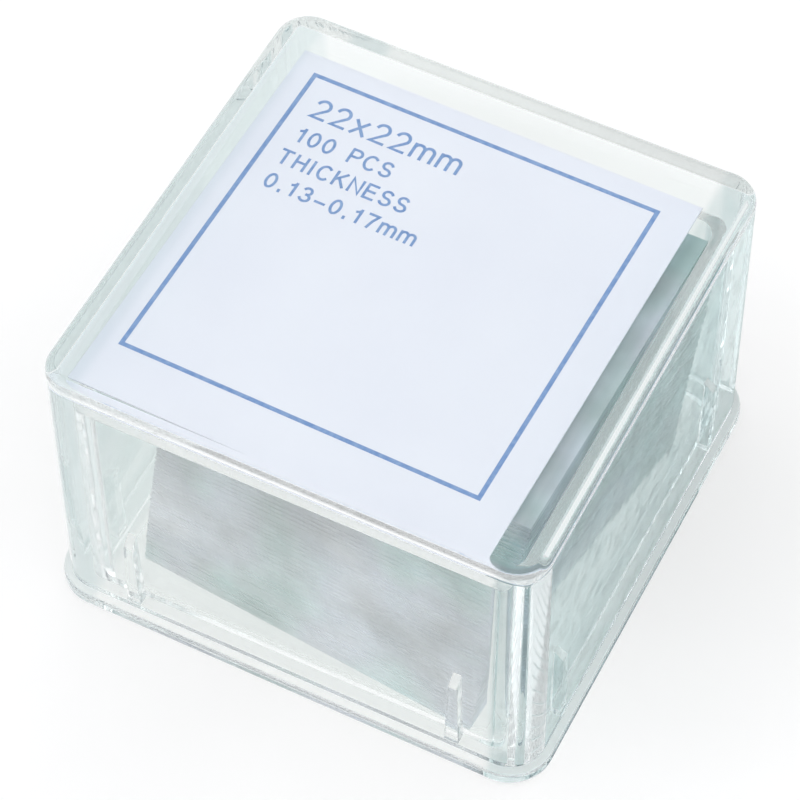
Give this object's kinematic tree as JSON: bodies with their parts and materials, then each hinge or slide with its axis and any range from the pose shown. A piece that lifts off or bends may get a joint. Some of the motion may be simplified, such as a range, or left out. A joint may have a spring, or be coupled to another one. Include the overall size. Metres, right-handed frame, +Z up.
{
  "type": "microscope cover glass box",
  "caption": "Clear plastic lift-off-lid box with a flanged tray, holding a stack of square microscope cover glasses under a printed size card.",
  "frame": {"origin": "middle of the base's underside, on the surface that the box stands on", "axes": "+X to the right and +Y to the back as the printed card is read, +Z up along the lid's lift"},
  "size_m": [0.0312, 0.0312, 0.0205],
  "materials": {
    "tray_plastic": "gloss",
    "lid_plastic": "gloss",
    "card": "matte",
    "cover_glass": "polished"
  },
  "bodies": {
    "base": {"base_tray": "tray_plastic", "cover_glasses_001_002": "cover_glass", "cover_glasses_003_004": "cover_glass", "cover_glasses_005_006": "cover_glass", "cover_glasses_007_008": "cover_glass", "cover_glasses_009_010": "cover_glass", "cover_glasses_011_012": "cover_glass", "cover_glasses_013_014": "cover_glass", "cover_glasses_015_016": "cover_glass", "cover_glasses_017_018": "cover_glass", "cover_glasses_019_020": "cover_glass", "cover_glasses_021_022": "cover_glass", "cover_glasses_023_024": "cover_glass", "cover_glasses_025_026": "cover_glass", "cover_glasses_027_028": "cover_glass", "cover_glasses_029_030": "cover_glass", "cover_glasses_031_032": "cover_glass", "cover_glasses_033_034": "cover_glass", "cover_glasses_035_036": "cover_glass", "cover_glasses_037_038": "cover_glass", "cover_glasses_039_040": "cover_glass", "cover_glasses_041_042": "cover_glass", "cover_glasses_043_044": "cover_glass", "cover_glasses_045_046": "cover_glass", "cover_glasses_047_048": "cover_glass", "cover_glasses_049_050": "cover_glass", "cover_glasses_051_052": "cover_glass", "cover_glasses_053_054": "cover_glass", "cover_glasses_055_056": "cover_glass", "cover_glasses_057_058": "cover_glass", "cover_glasses_059_060": "cover_glass", "cover_glasses_061_062": "cover_glass", "cover_glasses_063_064": "cover_glass", "cover_glasses_065_066": "cover_glass", "cover_glasses_067_068": "cover_glass", "cover_glasses_069_070": "cover_glass", "cover_glasses_071_072": "cover_glass", "cover_glasses_073_074": "cover_glass", "cover_glasses_075_076": "cover_glass", "cover_glasses_077_078": "cover_glass", "cover_glasses_079_080": "cover_glass", "cover_glasses_081_082": "cover_glass", "cover_glasses_083_084": "cover_glass", "cover_glasses_085_086": "cover_glass", "cover_glasses_087_088": "cover_glass", "cover_glasses_089_090": "cover_glass", "cover_glasses_091_092": "cover_glass", "cover_glasses_093_094": "cover_glass", "cover_glasses_095_096": "cover_glass", "cover_glasses_097_098": "cover_glass", "cover_glasses_099_099": "cover_glass"},
    "top_glass": {"cover_glass_top": "cover_glass"},
    "card": {"size_card": "card"},
    "lid": {"lid": "lid_plastic"}
  },
  "joints": [
    {"name": "lid_lift", "type": "slide", "parent": "base", "child": "lid", "axis": [0, 0, 1], "range_m": [0, 0.03]},
    {"name": "card_lift", "type": "slide", "parent": "base", "child": "card", "axis": [0, 0, 1], "range_m": [0, 0.0101]},
    {"name": "glass_lift", "type": "slide", "parent": "base", "child": "top_glass", "axis": [0, 0, 1], "range_m": [0, 0.0051]}
  ],
  "couplings": [
    {"joint": "card_lift", "follows": "lid_lift", "ratio": 0.3333},
    {"joint": "glass_lift", "follows": "lid_lift", "ratio": 0.1667}
  ]
}
